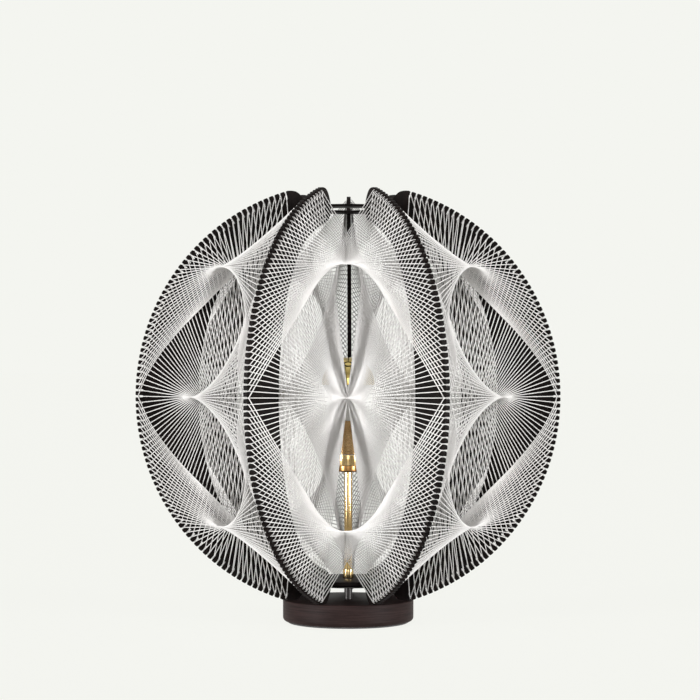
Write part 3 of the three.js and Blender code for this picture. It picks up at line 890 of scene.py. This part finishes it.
# Lampholder
CAP_CHAMFER = 1.5 * MM
BAND_WALL = 1.2 * MM
BAND_FLOOR = 1.5 * MM
SKIRT_BORE = 14.9 * MM
SKIRT_ROOT = 15.8 * MM
SKIRT_THREADS = 13
INSERT_BORE = 2.4 * MM
CONTACT_STEM = 2.1 * MM
CONTACT_HEAD = 1.2 * MM
SOCKET_BORE = 13.7 * MM


def threads(root, crest, foot, top, count, points=6):
    """A rounded rolled thread profile from foot to top."""
    profile = []
    steps = count * points
    for step in range(steps + 1):
        wave = 0.5 - 0.5 * math.cos(2 * math.pi * step / points)
        profile.append((root + (crest - root) * wave, foot + (top - foot) * step / steps))
    return profile


def make_cap():
    """The dark cap that closes the lampholder over the stem."""
    radius, foot, top = node_sizes("holder_cap")
    outline = [
        (STEM_HOLE, foot), (radius - CAP_CHAMFER, foot), (radius, foot + CAP_CHAMFER),
        (radius, top), (STEM_HOLE, top),
    ]
    make_turned("holder_end_cap", "holder_cap", outline, "dark_brass", soften=0.5 * MM)


def make_band():
    """The polished cup that carries the threaded skirt."""
    radius, foot, top = node_sizes("holder_band")
    inside = radius - BAND_WALL
    outline = [
        (STEM_HOLE, foot), (radius, foot), (radius, top),
        (inside, top), (inside, foot + BAND_FLOOR), (STEM_HOLE, foot + BAND_FLOOR),
    ]
    make_turned("holder_polished_band", "holder_band", outline, "polished_brass", soften=0.5 * MM)


def make_skirt():
    """The skirt with its thread for a shade ring."""
    radius, foot, top = node_sizes("holder_skirt")
    outline = [(SKIRT_BORE, foot)]
    outline += threads(SKIRT_ROOT, radius, foot, top, SKIRT_THREADS)
    outline += [(SKIRT_BORE, top)]
    make_turned("holder_threaded_skirt", "holder_skirt", outline, "holder_brass")


def make_contact():
    """The headed contact at the bottom of the screw socket."""
    radius, foot, top = node_sizes("holder_contact")
    head = top - CONTACT_HEAD
    outline = [
        (0, foot), (CONTACT_STEM, foot), (CONTACT_STEM, head),
        (radius, head), (radius, top), (0, top),
    ]
    make_turned("centre_contact", "holder_contact", outline, "holder_brass", steps=64, soften=0.3 * MM)


make_cap()
make_band()
make_skirt()
make_ring("porcelain_insert", "holder_insert", INSERT_BORE, "porcelain", 0.8 * MM, 96)
make_contact()
make_ring("screw_socket", "holder_socket", SOCKET_BORE, "holder_brass", 0.25 * MM, 96)


# Bulb
SCREW_ROOT = 12.1 * MM
SCREW_THREADS = 6
GLASS_WALL = 0.8 * MM
NECK_RADIUS = 13 * MM
DOME_STEP = 5
CROWN_WALL = 0.5 * MM
CROWN_STEPS = 18
# Shares of the neck's rise, and of its growth from neck to globe
NECK_SHARES = [(0, 0), (0.22, 0.06), (0.42, 0.22), (0.58, 0.44), (0.72, 0.66), (0.86, 0.86), (1.0, 1.0)]


def make_bulb_foot():
    """The bulb's contact, black insulator and screw cap."""
    tip, foot, top = node_sizes("bulb_contact")
    outline = ring_outline(0, tip, foot, top)
    make_turned("bulb_tip_contact", "bulb_contact", outline, "zinc", "bulb", steps=64, soften=0.7 * MM)
    radius, foot, top = node_sizes("bulb_insulator")
    outline = [(0, foot), (tip, foot), (radius, top), (0, top)]
    options = {"body": "bulb", "steps": 64, "soften": 0.3 * MM}
    make_turned("bulb_black_insulator", "bulb_insulator", outline, "black_plastic", **options)
    radius, foot, top = node_sizes("bulb_screw")
    outline = [(0, foot)]
    outline += threads(SCREW_ROOT, radius, foot, top, SCREW_THREADS, 8)
    outline += [(0, top)]
    make_turned("bulb_screw_cap", "bulb_screw", outline, "zinc", "bulb")


def glass_line(inset):
    """The glass from its neck to its top, set in from the outside."""
    radius, foot, top = node_sizes("bulb_glass")
    centre = top - radius
    rise = centre - foot
    growth = radius - NECK_RADIUS
    neck = eased([(NECK_RADIUS + w * growth, foot + h * rise) for h, w in NECK_SHARES], 4)
    line = [(p.x - inset, p.y) for p in neck[:-1]]
    for degrees in range(0, 90, DOME_STEP):
        a = math.radians(degrees)
        line.append(((radius - inset) * math.cos(a), centre + (radius - inset) * math.sin(a)))
    return line + [(0, centre + radius - inset)]


def crown_line(inset):
    """The mirror crown from its rim to its top, set in from the outside."""
    outer, foot, top = node_sizes("bulb_mirror")
    centre = top - outer
    radius = outer - inset
    start = math.degrees(math.asin((foot - centre) / radius))
    line = []
    for step in range(CROWN_STEPS):
        a = math.radians(start + (90 - start) * step / CROWN_STEPS)
        line.append((radius * math.cos(a), centre + radius * math.sin(a)))
    return line + [(0, centre + radius)]


make_bulb_foot()
glass_outline = glass_line(0) + glass_line(GLASS_WALL)[::-1]
make_turned("bulb_frosted_glass", "bulb_glass", glass_outline, "bulb_glass", "bulb")
crown_outline = crown_line(0) + crown_line(CROWN_WALL)[::-1]
make_turned("bulb_gold_crown", "bulb_mirror", crown_outline, "gold_mirror", "bulb")


# Floor, world and lights
BACKDROP = (0.905, 0.913, 0.871, 1)
FLOOR_COLOUR = (0.62, 0.625, 0.6, 1)
FLOOR_RADIUS = 600.0
FLOOR_DROP = 0.2 * MM
FLOOR_GLOW = 1.13
FLOOR_GLOW_SHARE = 0.85
WORLD_LIGHT = (1.0, 0.965, 0.91, 1)
WORLD_STRENGTH = 0.2


def background_rays(tree):
    """1 for a ray that shows the background: from the camera, off metal or through glass."""
    path = tree.nodes.new("ShaderNodeLightPath")
    rays = path.outputs["Is Camera Ray"]
    for name in ("Is Glossy Ray", "Is Transmission Ray"):
        either = tree.nodes.new("ShaderNodeMath")
        either.operation = "MAXIMUM"
        tree.links.new(rays, either.inputs[0])
        tree.links.new(path.outputs[name], either.inputs[1])
        rays = either.outputs["Value"]
    return rays


def floor_material():
    """A pale floor that shows the backdrop's colour and keeps the lamp's shadow."""
    s = Shader("pale floor")
    s.set(Base_Color=FLOOR_COLOUR, Roughness=0.9, Specular_IOR_Level=0.0)
    glow = s.tree.nodes.new("ShaderNodeEmission")
    glow.inputs["Color"].default_value = BACKDROP
    glow.inputs["Strength"].default_value = FLOOR_GLOW
    mix = s.tree.nodes.new("ShaderNodeMixShader")
    s.link(s.combine("MULTIPLY", background_rays(s.tree), FLOOR_GLOW_SHARE), mix.inputs["Fac"])
    s.link(s.surface.outputs["BSDF"], mix.inputs[1])
    s.link(glow.outputs["Emission"], mix.inputs[2])
    s.link(mix.outputs["Shader"], s.output.inputs["Surface"])
    return s.material


def lay_floor():
    """A wide floor just under the felt pad."""
    bm = bmesh.new()
    bmesh.ops.create_circle(bm, cap_ends=True, segments=64, radius=FLOOR_RADIUS)
    floor = finished("pale_floor", bm, floor_material())
    floor.data.transform(Matrix.Translation((0, 0, -FLOOR_DROP)))


def studio_world():
    """Soft light from all round, and the backdrop's colour for the rays that show it."""
    world = bpy.data.worlds.new("studio")
    world.use_nodes = True
    scene.world = world
    tree = world.node_tree
    light = tree.nodes["Background"]
    light.inputs["Color"].default_value = WORLD_LIGHT
    light.inputs["Strength"].default_value = WORLD_STRENGTH
    seen = tree.nodes.new("ShaderNodeBackground")
    seen.inputs["Color"].default_value = BACKDROP
    seen.inputs["Strength"].default_value = 1.0
    either = tree.nodes.new("ShaderNodeMixShader")
    tree.links.new(background_rays(tree), either.inputs["Fac"])
    tree.links.new(light.outputs["Background"], either.inputs[1])
    tree.links.new(seen.outputs["Background"], either.inputs[2])
    tree.links.new(either.outputs["Shader"], tree.nodes["World Output"].inputs["Surface"])


def distant_light(name, towards, strength, spread_degrees):
    """A far lamp that shines from a direction, with the soft shadows of a wide source."""
    data = bpy.data.lights.new(name, "SUN")
    data.energy = strength
    data.angle = math.radians(spread_degrees)
    light = bpy.data.objects.new(name, data)
    light.location = Vector(towards)
    light.rotation_euler = (-Vector(towards)).to_track_quat("-Z", "Y").to_euler()
    scene.collection.objects.link(light)


lay_floor()
studio_world()
distant_light("front_left_key", (-1.36, -0.85, 0.08), strength=3.6, spread_degrees=10)
distant_light("front_right_key", (1.36, -0.85, 0.08), strength=3.4, spread_degrees=10)
distant_light("front_fill", (0.0, -1.9, 0.3), strength=0.7, spread_degrees=30)

scene.view_settings.view_transform = "Standard"
